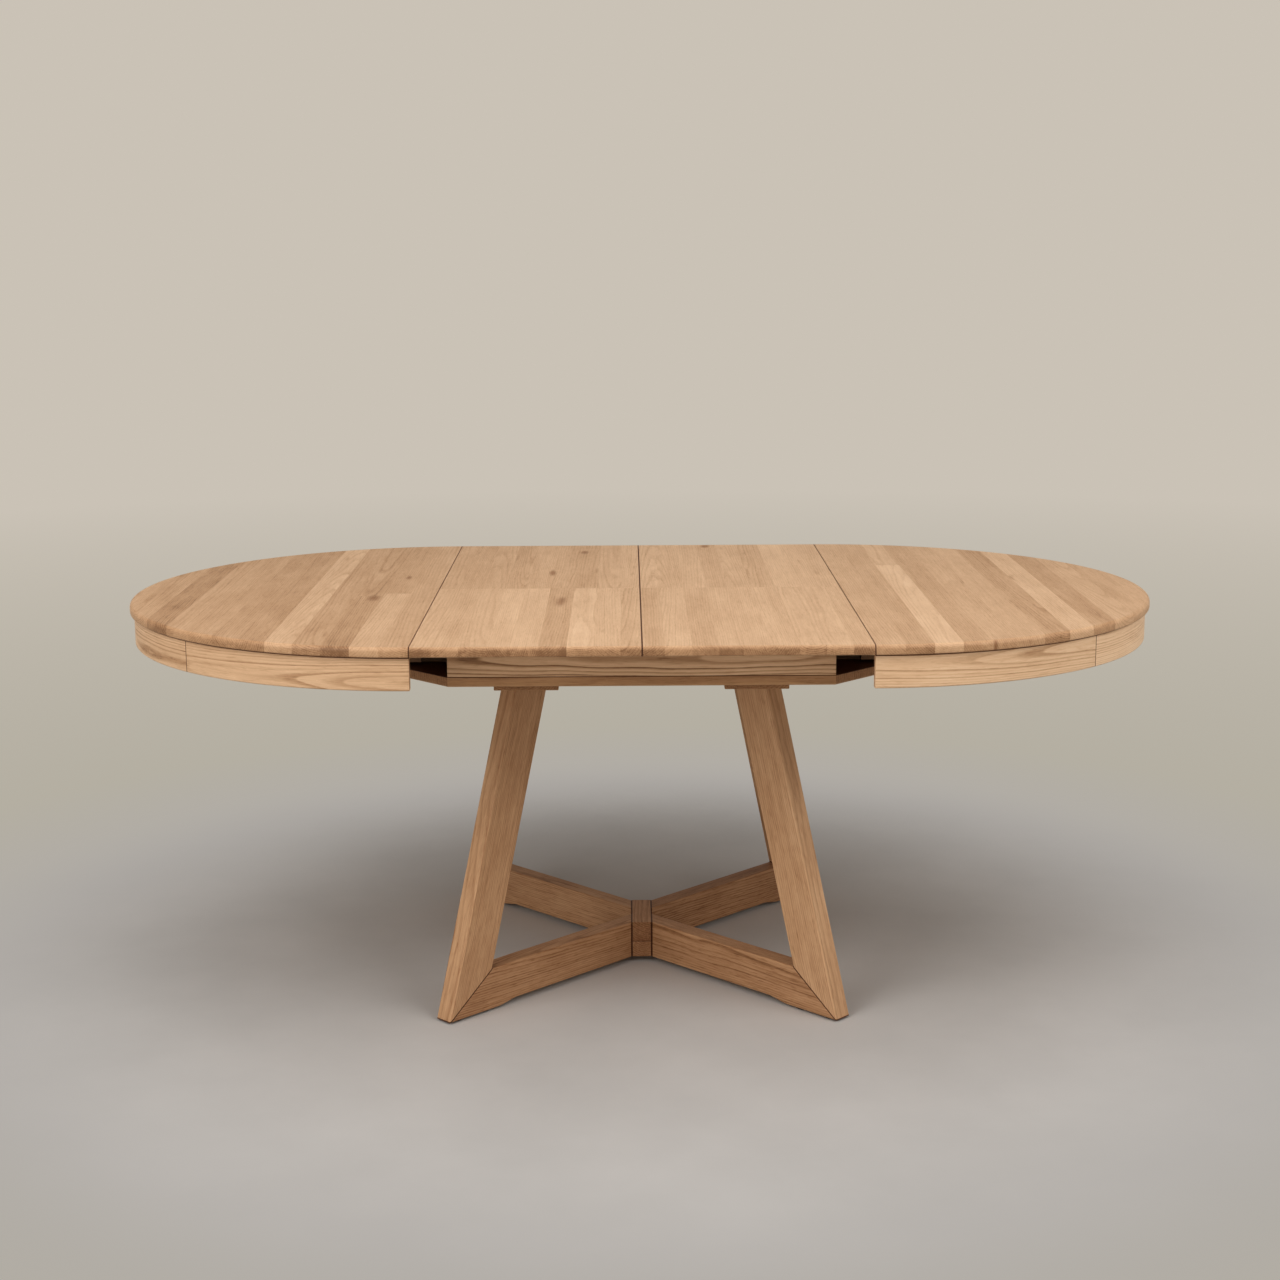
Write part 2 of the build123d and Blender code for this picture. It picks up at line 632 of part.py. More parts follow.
def leaf(side):
    width = LEAF_OUTER - LEAF_INNER
    x = side * (LEAF_OUTER + LEAF_INNER) / 2
    board = Pos(x, 0, UNDERSIDE + TOP_THICKNESS / 2) * Box(width, TOP_DIAMETER, TOP_THICKNESS)
    ends = board.edges().filter_by(Axis.X)
    board = fillet(ends.group_by(Axis.Z)[-1], TOP_UPPER_RADIUS)
    ends = board.edges().filter_by(Axis.X)
    return fillet(ends.group_by(Axis.Z)[0], TOP_LOWER_RADIUS)


def leaf_cleats(side):
    """Cleats under a leaf that drop just inside the two rails."""
    x = side * (LEAF_OUTER + LEAF_INNER) / 2
    outer = PANEL_HALF - RAIL_THICKNESS - CLEAT_CLEARANCE
    level = UNDERSIDE - CLEAT_HEIGHT / 2
    cleat = Box(CLEAT_LENGTH, CLEAT_WIDTH, CLEAT_HEIGHT)
    return group([Pos(x, end * (outer - CLEAT_WIDTH / 2), level) * cleat for end in ENDS.values()])


# ---- Write one file for each named piece ----

def base_nodes():
    nodes = {}
    lamination = RELIEF_LEVEL + HUB_LOWER_HEIGHT
    nodes["hub_block_lower"] = hub_block(RELIEF_LEVEL, lamination)
    nodes["hub_block_upper"] = hub_block(lamination, MEMBER_TOP)
    nodes["hub_dowels"] = group(
        [hub_dowel(end, level) for end in ENDS.values() for level in dowel_levels()])
    nodes["mitre_tenons"] = group([mitre_tenon(side, end) for side, end in all_legs()])
    nodes["felt_pads"] = felt_pads()
    nodes["leg_bolts"] = leg_bolts()
    nodes["leg_inserts"] = leg_inserts()
    for side_name, side in SIDES.items():
        for end_name, end in ENDS.items():
            nodes[f"leg_{end_name}_{side_name}"] = leg(side, end)
            nodes[f"stretcher_{end_name}_{side_name}"] = stretcher(side, end)
    return nodes


def frame_nodes():
    nodes = {"base_panel": base_panel(), "glide_strips": glide_strips()}
    nodes["panel_screws"] = group(batten_screws() + upright_screws())
    nodes["slide_outer_screws"] = group(
        [screw for side, end in all_legs() for screw in outer_slide_screws(side, end)])
    for side_name, side in SIDES.items():
        nodes[f"batten_{side_name}"] = batten(side)
    for end_name, end in ENDS.items():
        nodes[f"rail_{end_name}"] = rail(end)
        nodes[f"beam_{end_name}"] = beam(end)
        nodes[f"slide_outer_{end_name}"] = slide_outer(end)
    return nodes


def half_nodes(side_name, side):
    nodes = {f"{side_name}_top": half_top(side)}
    nodes[f"{side_name}_apron_blocks"] = apron_blocks(side)
    nodes[f"{side_name}_bearer_screws"] = group(bearer_screws(side))
    nodes[f"{side_name}_slide_screws"] = group(
        [screw for end in ENDS.values() for screw in inner_slide_screws(side, end)])
    for end_name, end in ENDS.items():
        nodes[f"{side_name}_apron_{end_name}"] = apron_segment(side, end, 0)
        nodes[f"{side_name}_apron_{end_name}_corner"] = apron_segment(side, end, 1)
        nodes[f"{side_name}_bearer_{end_name}"] = bearer(side, end)
        nodes[f"{side_name}_slide_inner_{end_name}"] = slide_inner(side, end)
        nodes[f"{side_name}_slide_middle_{end_name}"] = slide_middle(side, end)
    nodes[f"{side_name}_leaf"] = leaf(side)
    nodes[f"{side_name}_leaf_cleats"] = leaf_cleats(side)
    return nodes


def main():
    os.makedirs("parts", exist_ok=True)
    nodes = {**base_nodes(), **frame_nodes()}
    for side_name, side in SIDES.items():
        nodes.update(half_nodes(side_name, side))
    for name, shape in nodes.items():
        export_step(shape, f"parts/{name}.step")
    print(len(nodes), "nodes; travel", TRAVEL, "panel half width", round(PANEL_HALF, 3))


main()
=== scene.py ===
import math
import random

import bmesh
import bpy
from mathutils import Matrix, Vector


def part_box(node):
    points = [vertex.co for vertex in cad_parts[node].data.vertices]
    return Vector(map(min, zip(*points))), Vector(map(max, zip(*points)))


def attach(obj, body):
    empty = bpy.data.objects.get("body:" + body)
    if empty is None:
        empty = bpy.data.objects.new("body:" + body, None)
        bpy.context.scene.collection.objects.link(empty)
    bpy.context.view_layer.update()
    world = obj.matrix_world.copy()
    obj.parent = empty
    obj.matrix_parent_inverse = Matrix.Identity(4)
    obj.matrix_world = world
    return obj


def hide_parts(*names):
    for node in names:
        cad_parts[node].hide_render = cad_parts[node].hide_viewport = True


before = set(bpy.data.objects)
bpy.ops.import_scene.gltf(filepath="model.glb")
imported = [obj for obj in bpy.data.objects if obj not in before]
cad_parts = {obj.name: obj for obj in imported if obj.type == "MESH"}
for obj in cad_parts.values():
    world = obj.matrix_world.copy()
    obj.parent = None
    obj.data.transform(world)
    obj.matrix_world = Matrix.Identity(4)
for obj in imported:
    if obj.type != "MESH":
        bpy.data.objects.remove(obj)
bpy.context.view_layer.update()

# ---------------------------------------------------------------- sizes, metres
TOP_LOW, TOP_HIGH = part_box("left_top")
RADIUS = TOP_HIGH.y
TOP_Z = TOP_HIGH.z
UNDER_Z = TOP_LOW.z
SEAM_X = -TOP_HIGH.x
HALF_CENTRE = -TOP_LOW.x - RADIUS
UPPER_RADIUS = 0.008
LOWER_RADIUS = 0.003
ARRIS = 0.0006
RIM_STEPS = 10
LOWER_STEPS = 4
ROUND_STEPS = 240
STAVE = 0.051
LEAF_BUTT = 0.006
# How far the boards reach into their seams, so that the floor doesn't show through.
SEAM_CLOSE = 0.0004
CENTRE_CLOSE = 0.0008
# Half widths of the dark lines where parts meet. Those along the tops of the aprons and rails,
# and where the rails sit on the panel, are also painted shadow from the gaps and overhangs there.
SIDE_LINE = 0.0013
CENTRE_LINE = 0.0017
APRON_LINE = 0.0011
APRON_TOP_SHADOW_LINE = 0.0036
PANEL_JOINT_SHADOW_LINE = 0.0010
RAIL_TOP_SHADOW_LINE = 0.0026
MITRE_LINE = 0.0015
STRETCHER_END_LINE = 0.0022
HUB_SIDE_LINE = 0.0018
HUB_LAYER_LINE = 0.0007
# Legs and stretchers: the lean from upright, two points of the mitre as reach and level.
DIAGONAL = math.sqrt(0.5)
LEG_LEAN = math.radians(16.1)
MITRE_FOOT = (0.546, 0.003)
MITRE_INNER = (0.4396, 0.083)
HUB_HALF = 0.020
# A face is flat, or an edge is a corner, past these.
FLAT_FACING = 0.99999
CORNER = math.radians(40)
SOFT_EDGE = math.radians(30)

# ---------------------------------------------------------------- grain, cycles a metre
# Each pair is along the board and across it.
DRIFT = (2.6, 6.0)
WAVES = (9.0, 38.0)
FIBRE = (10.0, 620.0)
GRAIN = (13.0, 230.0)
STREAK = (1.8, 85.0)
CLOUD = (7.0, 20.0)
PORE = (75.0, 1700.0)
DASH = (42.0, 430.0)
FLECK = (150.0, 520.0)
MINERAL = (5.5, 42.0)
# The pith's slope against the board, the waves' depth in years, and the step between seeds.
TAPER = 0.030
RIPPLE = 0.28
SEED_STEP = (5.0, 31.0, 17.0)
MINERAL_TINT = (0.60, 0.49, 0.40)
# Tint of the dark lines where parts meet, also of the painted shadow lines and painted shade.
JOINT_AND_SHADE_TINT = (0.19, 0.10, 0.055)

# ---------------------------------------------------------------- colour ramps, linear RGB
OAK = (
    (0.00, (0.240, 0.124, 0.058)),
    (0.25, (0.450, 0.268, 0.146)),
    (0.75, (0.690, 0.472, 0.300)),
    (1.00, (0.790, 0.580, 0.398)),
)
OAK_BASE = (
    (0.00, (0.205, 0.088, 0.034)),
    (0.30, (0.385, 0.205, 0.100)),
    (0.75, (0.595, 0.374, 0.216)),
    (1.00, (0.710, 0.500, 0.325)),
)
OAK_FRAME = (
    (0.00, (0.180, 0.080, 0.030)),
    (0.30, (0.360, 0.192, 0.090)),
    (0.75, (0.560, 0.340, 0.180)),
    (1.00, (0.680, 0.450, 0.268)),
)
# Beech, darker than the timber's own colour: partly painted shade for the hidden timber under the
# top.
BEECH = (
    (0.00, (0.240, 0.135, 0.075)),
    (0.40, (0.350, 0.225, 0.138)),
    (1.00, (0.500, 0.350, 0.230)),
)
FELT_BROWN = ((0.3, (0.030, 0.022, 0.016)), (0.7, (0.085, 0.064, 0.048)))
BLACK_PLATE = (0.060, 0.060, 0.064)
ZINC_PLATE = (0.62, 0.64, 0.66)
YELLOW_ZINC = (0.72, 0.62, 0.38)
# Pale floor, and the surround that it fades into, from the floor's edge to the distance.
FLOOR_PATCHES = ((0.35, (0.485, 0.472, 0.462)), (0.65, (0.540, 0.525, 0.514)))
FLOOR_EDGE = (0.415, 0.394, 0.372)
BACKDROP_LOW = (0.438, 0.411, 0.354)
SURROUND = (0.548, 0.506, 0.446)
WARM_WHITE = (1.0, 0.985, 0.965)


# ---------------------------------------------------------------- material helpers

class Graph:
    """Short names for building one material's nodes."""

    def __init__(self, name):
        self.material = bpy.data.materials.new(name)
        self.material.use_nodes = True
        self.tree = self.material.node_tree
        self.shader = self.tree.nodes["Principled BSDF"]

    def node(self, kind, **settings):
        made = self.tree.nodes.new(kind)
        for key, value in settings.items():
            setattr(made, key, value)
        return made

    def link(self, source, target):
        if isinstance(source, (int, float, tuple)):
            target.default_value = source
        else:
            self.tree.links.new(source, target)

    def math(self, operation, a, b=0.0, c=None):
        made = self.node("ShaderNodeMath", operation=operation)
        self.link(a, made.inputs[0])
        self.link(b, made.inputs[1])
        if c is not None:
            self.link(c, made.inputs[2])
        return made.outputs[0]

    def add(self, a, b):
        made = self.node("ShaderNodeVectorMath", operation="ADD")
        self.link(a, made.inputs[0])
        self.link(b, made.inputs[1])
        return made.outputs[0]

    def stretch(self, source, factors):
        made = self.node("ShaderNodeVectorMath", operation="MULTIPLY")
        self.tree.links.new(source, made.inputs[0])
        made.inputs[1].default_value = factors
        return made.outputs[0]

    def length(self, source):
        made = self.node("ShaderNodeVectorMath", operation="LENGTH")
        self.link(source, made.inputs[0])
        return made.outputs["Value"]

    def dot(self, source, direction):
        made = self.node("ShaderNodeVectorMath", operation="DOT_PRODUCT")
        self.link(source, made.inputs[0])
        made.inputs[1].default_value = direction
        return made.outputs["Value"]

    def split(self, source):
        made = self.node("ShaderNodeSeparateXYZ")
        self.link(source, made.inputs[0])
        return made.outputs

    def noise(self, source, cycles, detail=2.0, roughness=0.5):
        """Noise with cycles a metre, as a pair along X and across it."""
        along, across = cycles
        made = self.node("ShaderNodeTexNoise")
        self.tree.links.new(self.stretch(source, (along, across, across)), made.inputs["Vector"])
        made.inputs["Scale"].default_value = 1.0
        made.inputs["Detail"].default_value = detail
        made.inputs["Roughness"].default_value = roughness
        return made.outputs["Fac"]

    def bump(self, height, strength, distance):
        made = self.node("ShaderNodeBump")
        made.inputs["Strength"].default_value = strength
        made.inputs["Distance"].default_value = distance
        self.link(height, made.inputs["Height"])
        self.link(made.outputs["Normal"], self.shader.inputs["Normal"])

    def ramp(self, source, stops):
        made = self.node("ShaderNodeValToRGB")
        ramp = made.color_ramp
        while len(ramp.elements) < len(stops):
            ramp.elements.new(0.5)
        for element, (place, colour) in zip(ramp.elements, stops):
            element.position = place
            element.color = (*colour, 1.0)
        self.link(source, made.inputs["Fac"])
        return made.outputs["Color"]

    def smooth(self, source, low, high):
        """0 at low, 1 at high, smooth between; low may be the larger."""
        made = self.node("ShaderNodeMapRange", interpolation_type="SMOOTHSTEP")
        self.tree.links.new(source, made.inputs["Value"])
        made.inputs["From Min"].default_value = low
        made.inputs["From Max"].default_value = high
        return made.outputs["Result"]

    def darken(self, source, amount, tint):
        """Multiplies a colour by tint where amount is 1."""
        made = self.node("ShaderNodeMix", data_type="RGBA", blend_type="MULTIPLY")
        self.link(amount, made.inputs["Factor"])
        self.link(source, made.inputs["A"])
        made.inputs["B"].default_value = (*tint, 1.0)
        return made.outputs["Result"]


def bent_grain(g, coords, centre_x, radius, shift):
    """Grain that follows a curve about an upright axis: its point, and how end-on a face is."""
    centred = g.add(coords.outputs["Object"], (-centre_x, 0.0, 0.0))
    place = g.split(centred)
    bearing = g.math("ARCTAN2", place["Y"], place["X"])
    reach = g.length(g.stretch(centred, (1.0, 1.0, 0.0)))
    joined = g.node("ShaderNodeCombineXYZ")
    g.link(g.math("MULTIPLY", bearing, radius), joined.inputs[0])
    g.link(place["Z"], joined.inputs[1])
    g.link(g.math("SUBTRACT", reach, radius), joined.inputs[2])
    turned = g.node("ShaderNodeVectorMath", operation="CROSS_PRODUCT")
    g.link(centred, turned.inputs[0])
    g.link(coords.outputs["Normal"], turned.inputs[1])
    end = g.split(turned.outputs["Vector"])["Z"]
    return g.add(joined.outputs[0], shift), g.math("DIVIDE", end, radius)


def straight_grain(g, coords, rows, shift):
    """Grain along the first of rows: its point, and how end-on a face is."""
    turn = Matrix(rows).to_euler("XYZ")
    mapping = g.node("ShaderNodeMapping")
    g.link(coords.outputs["Object"], mapping.inputs["Vector"])
    mapping.inputs["Rotation"].default_value = turn
    mapping.inputs["Location"].default_value = shift
    facing = g.node("ShaderNodeMapping", vector_type="NORMAL")
    g.link(coords.outputs["Normal"], facing.inputs["Vector"])
    facing.inputs["Rotation"].default_value = turn
    return mapping.outputs["Vector"], g.split(facing.outputs["Vector"])["X"]


def wood(name, ramp, rows=None, shift=(0.0, 0.0, 0.0), tone=0.5, ring=0.0042, figure=0.40,
         mottle=0.35, end_grain=0.55, wander=0.016, coarse=0.85, staves=False, joints=(),
         bend=None, knots=(), painted_shade_faces=False):
    """Oak or beech. rows holds the directions along, across and through a straight board, and
    bend the axis and radius that a curved one follows.

    tone is 0 dark to 1 pale, ring a year's growth in metres, and figure, mottle, coarse and
    end_grain how strong the rings, clouds, coarse grain and end faces show. wander is how far
    the rings leave a true circle. With staves, tone and place come from the board's faces.
    The point that shift moves to the origin is on the tree's pith. Each dark line is a plane, as
    a normal, a level along it and half the width of the dark line; most sit where parts meet,
    and some are painted shadow in gaps and under overhangs. Each of knots is a place in X and Y,
    and its half width and half length. A board may also be painted dark over the whole of a face
    that lies in one of its lines: painted shade.
    """
    g = Graph(name)
    coords = g.node("ShaderNodeTexCoord")
    if bend:
        point, facing_end = bent_grain(g, coords, *bend, shift)
    else:
        point, facing_end = straight_grain(g, coords, rows, shift)
    shade = tone
    end_shade = end_grain
    step_x, step_y, step_z = SEED_STEP
    if staves:
        moved = g.node("ShaderNodeAttribute", attribute_name="grain_shift").outputs["Vector"]
        shade = g.node("ShaderNodeAttribute", attribute_name="tone").outputs["Fac"]
        end_tone = g.node("ShaderNodeAttribute", attribute_name="end_tone").outputs["Fac"]
        end_shade = g.math("MULTIPLY", end_tone, end_grain)
        seeded = g.add(point, g.stretch(moved, SEED_STEP))
        point = g.add(point, moved)
    else:
        seeded = g.add(point, (step_x * shift[0], step_y * shift[1], step_z * shift[2]))

    # rings about a pith that tapers along the board, wandering slowly off a true circle
    drift = g.noise(seeded, DRIFT)
    ripple = g.noise(seeded, WAVES, detail=1.0)
    radius = g.length(g.stretch(point, (TAPER, 1.0, 1.0)))
    strayed = g.math("MULTIPLY", drift, wander / ring)
    age = g.math("MULTIPLY_ADD", radius, 1.0 / ring, strayed)
    age = g.math("MULTIPLY_ADD", ripple, RIPPLE, age)
    season = g.math("FRACT", age)
    year = g.node("ShaderNodeTexWhiteNoise", noise_dimensions="1D")
    g.link(g.math("FLOOR", age), year.inputs["W"])
    rise = g.smooth(season, 0.0, 0.10)
    fall = g.smooth(season, 0.62, 0.12)
    strength = g.math("MULTIPLY_ADD", year.outputs["Value"], 0.8, 0.3)
    early = g.math("MULTIPLY", g.math("MULTIPLY", rise, fall), strength)

    # fibres, pores, flecks and slow changes of tone
    fibre = g.noise(seeded, FIBRE, detail=3.0, roughness=0.65)
    grain = g.noise(seeded, GRAIN, detail=3.0, roughness=0.7)
    streak = g.noise(seeded, STREAK)
    cloud = g.noise(seeded, CLOUD, detail=3.0, roughness=0.6)
    open_pores = g.smooth(g.noise(seeded, PORE, detail=1.0), 0.58, 0.70)
    pores = g.math("MULTIPLY", open_pores, g.math("MULTIPLY_ADD", early, 0.75, 0.25))
    dashes = g.smooth(g.noise(seeded, DASH, detail=1.0), 0.54, 0.70)
    flecks = g.smooth(g.noise(seeded, FLECK, detail=1.0), 0.64, 0.76)
    ends = g.math("MULTIPLY", g.math("ABSOLUTE", facing_end), end_shade)

    value = g.math("MULTIPLY_ADD", g.math("SUBTRACT", early, 0.25), -figure, shade)
    value = g.math("MULTIPLY_ADD", g.math("SUBTRACT", fibre, 0.5), 0.50, value)
    value = g.math("MULTIPLY_ADD", g.math("SUBTRACT", grain, 0.5), coarse, value)
    value = g.math("MULTIPLY_ADD", g.math("SUBTRACT", streak, 0.5), mottle, value)
    value = g.math("MULTIPLY_ADD", g.math("SUBTRACT", cloud, 0.5), 1.6 * mottle, value)
    value = g.math("MULTIPLY_ADD", pores, -0.30, value)
    value = g.math("MULTIPLY_ADD", dashes, -0.30 * coarse, value)
    value = g.math("MULTIPLY_ADD", flecks, 0.16, value)
    value = g.math("SUBTRACT", value, ends)
    colour = g.ramp(g.math("MULTIPLY_ADD", value, 0.5, 0.25), ramp)

    # rare brown mineral streaks, knots, and the dark lines where parts meet, some of them painted
    # shadow
    rare = g.noise(seeded, MINERAL)
    dark = g.math("MULTIPLY", g.smooth(rare, 0.68, 0.80), 0.50)
    for x, y, half_width, half_length in knots:
        apart = g.add(coords.outputs["Object"], (-x, -y, 0.0))
        span = g.length(g.stretch(apart, (1 / half_width, 1 / half_length, 0.0)))
        edge = g.math("MULTIPLY_ADD", cloud, 1.2, span)
        dark = g.math("MAXIMUM", dark, g.smooth(edge, 1.7, 0.7))
    line = 0.0
    for normal, level, half in joints:
        along = g.dot(coords.outputs["Object"], normal)
        off = g.math("ABSOLUTE", g.math("SUBTRACT", along, level))
        beside = 1.0
        # Faces lying in a line's plane keep their colour, unless the board has them painted dark
        # all over as painted shade.
        if not painted_shade_faces:
            facing = g.math("ABSOLUTE", g.dot(coords.outputs["Normal"], normal))
            beside = g.smooth(facing, 0.95, 0.80)
        near = g.math("MULTIPLY", beside, g.smooth(off, half, 0.6 * half))
        line = g.math("MAXIMUM", line, near)
    colour = g.darken(colour, dark, MINERAL_TINT)
    if joints:
        colour = g.darken(colour, line, JOINT_AND_SHADE_TINT)
    g.link(colour, g.shader.inputs["Base Color"])

    gloss = g.math("MULTIPLY_ADD", fibre, 0.16, 0.44)
    gloss = g.math("MULTIPLY_ADD", pores, 0.20, gloss)
    g.link(gloss, g.shader.inputs["Roughness"])
    g.shader.inputs["Specular IOR Level"].default_value = 0.35

    height = g.math("MULTIPLY_ADD", pores, -1.0, g.math("MULTIPLY", fibre, 0.5))
    height = g.math("MULTIPLY_ADD", early, -0.25, height)
    g.bump(height, 0.35, 0.0003)
    return g.material


def steel(name, colour, roughness):
    """Plated steel with faint drawing lines and mottled plating."""
    g = Graph(name)
    coords = g.node("ShaderNodeTexCoord").outputs["Object"]
    lines = g.noise(coords, (14.0, 1800.0))
    mottle = g.noise(coords, (160.0, 160.0), detail=3.0)
    mix = g.math("MULTIPLY_ADD", lines, 0.35, g.math("MULTIPLY", mottle, 0.65))
    dark = tuple(0.72 * part for part in colour)
    g.link(g.ramp(mix, ((0.3, dark), (0.7, colour))), g.shader.inputs["Base Color"])
    g.link(g.math("MULTIPLY_ADD", mix, 0.22, roughness - 0.11), g.shader.inputs["Roughness"])
    g.shader.inputs["Metallic"].default_value = 1.0
    g.bump(lines, 0.15, 0.0001)
    return g.material


def felt(name):
    """Dense brown wool felt."""
    g = Graph(name)
    coords = g.node("ShaderNodeTexCoord").outputs["Object"]
    hairs = g.noise(coords, (1400.0, 1400.0), detail=4.0, roughness=0.7)
    tufts = g.noise(coords, (260.0, 260.0))
    mix = g.math("MULTIPLY_ADD", hairs, 0.6, g.math("MULTIPLY", tufts, 0.4))
    g.link(g.ramp(mix, FELT_BROWN), g.shader.inputs["Base Color"])
    g.link(g.math("MULTIPLY_ADD", mix, 0.1, 0.88), g.shader.inputs["Roughness"])
    g.shader.inputs["Sheen Weight"].default_value = 0.3
    g.bump(mix, 0.6, 0.0004)
    return g.material


# ---------------------------------------------------------------- glued-up tops and leaves

def rim_profile():
    """Distance in from the rim, and level, from the top face round to the underside."""
    points = []
    for step in range(RIM_STEPS + 1):
        angle = math.pi / 2 * (1 - step / RIM_STEPS)
        points.append((
            UPPER_RADIUS * (1 - math.cos(angle)), TOP_Z - UPPER_RADIUS * (1 - math.sin(angle))))
    for step in range(LOWER_STEPS + 1):
        angle = -math.pi / 2 * step / LOWER_STEPS
        points.append((
            LOWER_RADIUS * (1 - math.cos(angle)), UNDER_Z + LOWER_RADIUS * (1 + math.sin(angle))))
    return points


def disc_mesh(centre_x):
    """Closed round board about centre_x with its rim rounded over and under."""
    bm = bmesh.new()
    rings = []
    for inset, level in rim_profile():
        ring = []
        reach = RADIUS - inset
        for step in range(ROUND_STEPS):
            angle = 2 * math.pi * step / ROUND_STEPS
            x = centre_x + reach * math.cos(angle)
            ring.append(bm.verts.new((x, reach * math.sin(angle), level)))
        rings.append(ring)
    for upper, lower in zip(rings, rings[1:]):
        for step in range(ROUND_STEPS):
            after = (step + 1) % ROUND_STEPS
            bm.faces.new((upper[step], lower[step], lower[after], upper[after]))
    bm.faces.new(rings[0])
    bm.faces.new(list(reversed(rings[-1])))
    return bm


def bar_mesh(low_x, high_x):
    """Closed straight board across the table, its two ends rounded as the rim is."""
    profile = rim_profile()
    loop = [(inset - RADIUS, level) for inset, level in profile]
    loop += [(RADIUS - inset, level) for inset, level in reversed(profile)]
    bm = bmesh.new()
    near = [bm.verts.new((low_x, y, z)) for y, z in loop]
    far = [bm.verts.new((high_x, y, z)) for y, z in loop]
    count = len(loop)
    for step in range(count):
        after = (step + 1) % count
        bm.faces.new((near[step], near[after], far[after], far[step]))
    bm.faces.new(list(reversed(near)))
    bm.faces.new(far)
    return bm


def cut(bm, place, normal, clear=False, faces=None):
    """Cuts the board with a plane; clear drops what lies ahead of it and closes the hole."""
    faces = list(bm.faces) if faces is None else faces
    edges = {edge for face in faces for edge in face.edges}
    verts = {vert for face in faces for vert in face.verts}
    geometry = list(verts) + list(edges) + faces
    made = bmesh.ops.bisect_plane(
        bm, geom=geometry, dist=1e-7, plane_co=place, plane_no=normal, clear_outer=clear)
    if clear:
        rim = [item for item in made["geom_cut"] if isinstance(item, bmesh.types.BMEdge)]
        bmesh.ops.edgeloop_fill(bm, edges=rim)


def ease_seams(bm, places):
    """Small arris along each straight edge that meets another board."""
    edges = []
    for edge in bm.edges:
        on_seam = any(all(abs(vert.co.x - x) < 1e-6 for vert in edge.verts) for x in places)
        if on_seam and edge.is_manifold and edge.calc_face_angle() > CORNER:
            edges.append(edge)
    bmesh.ops.bevel(bm, geom=edges, offset=ARRIS, segments=2, profile=0.5, affect="EDGES")


def board(name, bm, bounds, tones, butts, seed, body, material):
    """Splits a board into staves at bounds along X and gives each its tone and its own grain.

    tones has one (front, rear) pair a stave, and butts the level along Y where the two meet.
    """
    for x in bounds[1:-1]:
        cut(bm, (x, 0, 0), (1, 0, 0))
    for low, high, place in zip(bounds, bounds[1:], butts):
        if place is not None:
            within = [face for face in bm.faces if low < face.calc_center_median().x < high]
            cut(bm, (0, place, 0), (0, 1, 0), faces=within)
    chance = random.Random(seed)
    end_tones = [chance.uniform(0.55, 1.10) for _ in tones]
    shifts = []
    for _ in tones:
        shifts.append([
            Vector((
                chance.uniform(-1.2, 1.2), chance.uniform(-0.09, 0.09),
                chance.uniform(0.03, 0.10)))
            for _ in range(2)])
    tone_layer = bm.faces.layers.float.new("tone")
    end_layer = bm.faces.layers.float.new("end_tone")
    shift_layer = bm.faces.layers.float_vector.new("grain_shift")
    for face in bm.faces:
        middle = face.calc_center_median()
        index = sum(middle.x > x for x in bounds[1:-1])
        behind = butts[index] is not None and middle.y > butts[index]
        stave_middle = (bounds[index] + bounds[index + 1]) / 2
        shift = shifts[index][behind].copy()
        shift.y -= stave_middle
        shift.z += UNDER_Z
        face[shift_layer] = shift
        face[tone_layer] = tones[index][behind]
        face[end_layer] = end_tones[index]
    for edge in bm.edges:
        flat = any(abs(face.normal.z) > FLAT_FACING for face in edge.link_faces)
        level = all(abs(face.normal.z) > FLAT_FACING for face in edge.link_faces)
        edge.smooth = level or not (flat or edge.calc_face_angle(0) > SOFT_EDGE)
    for face in bm.faces:
        face.smooth = True
    mesh = bpy.data.meshes.new(name)
    bm.to_mesh(mesh)
    bm.free()
    piece = bpy.data.objects.new(name, mesh)
    bpy.context.scene.collection.objects.link(piece)
    piece.data.materials.append(material)
    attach(piece, body)
    return piece


# Stave tones from the seam outward, 0 dark to 1 pale: (front, rear) and where the two meet.
LEFT_TONES = [
    (0.40, 0.40, None), (0.60, 0.26, -0.045), (0.10, 0.22, -0.073), (0.28, 0.34, None),
    (0.68, 0.68, None), (0.18, 0.18, None), (0.22, 0.22, None), (0.30, 0.30, None),
    (0.34, 0.34, None), (0.04, 0.04, None), (0.30, 0.30, None), (0.40, 0.40, None),
]
RIGHT_TONES = [
    (0.56, 0.56, None), (0.46, 0.46, None), (0.92, 0.66, 0.28), (0.40, 0.40, None),
    (0.56, 0.56, None), (0.60, 0.60, None), (0.34, 0.34, None), (0.78, 0.78, None),
    (0.28, 0.28, None), (0.62, 0.62, None), (0.46, 0.46, None), (0.55, 0.55, None),
]
# Leaf stave widths across X from left to right, and their tones in the front and rear rows.
LEAF_WIDTHS = [0.038, 0.047, 0.046, 0.042, 0.048, 0.048, 0.046, 0.046, 0.037]
LEFT_LEAF_FRONT = [0.60, 0.56, 0.66, 0.78, 0.76, 0.40, 0.86, 0.70, 0.58]
LEFT_LEAF_REAR = [0.40, 0.36, 0.48, 0.42, 0.52, 0.46, 0.40, 0.58, 0.66]
RIGHT_LEAF_FRONT = [0.46, 0.74, 0.54, 0.68, 0.72, 0.70, 0.74, 0.68, 0.64]
RIGHT_LEAF_REAR = [0.72, 0.64, 0.68, 0.54, 0.68, 0.56, 0.86, 0.74, 0.60]


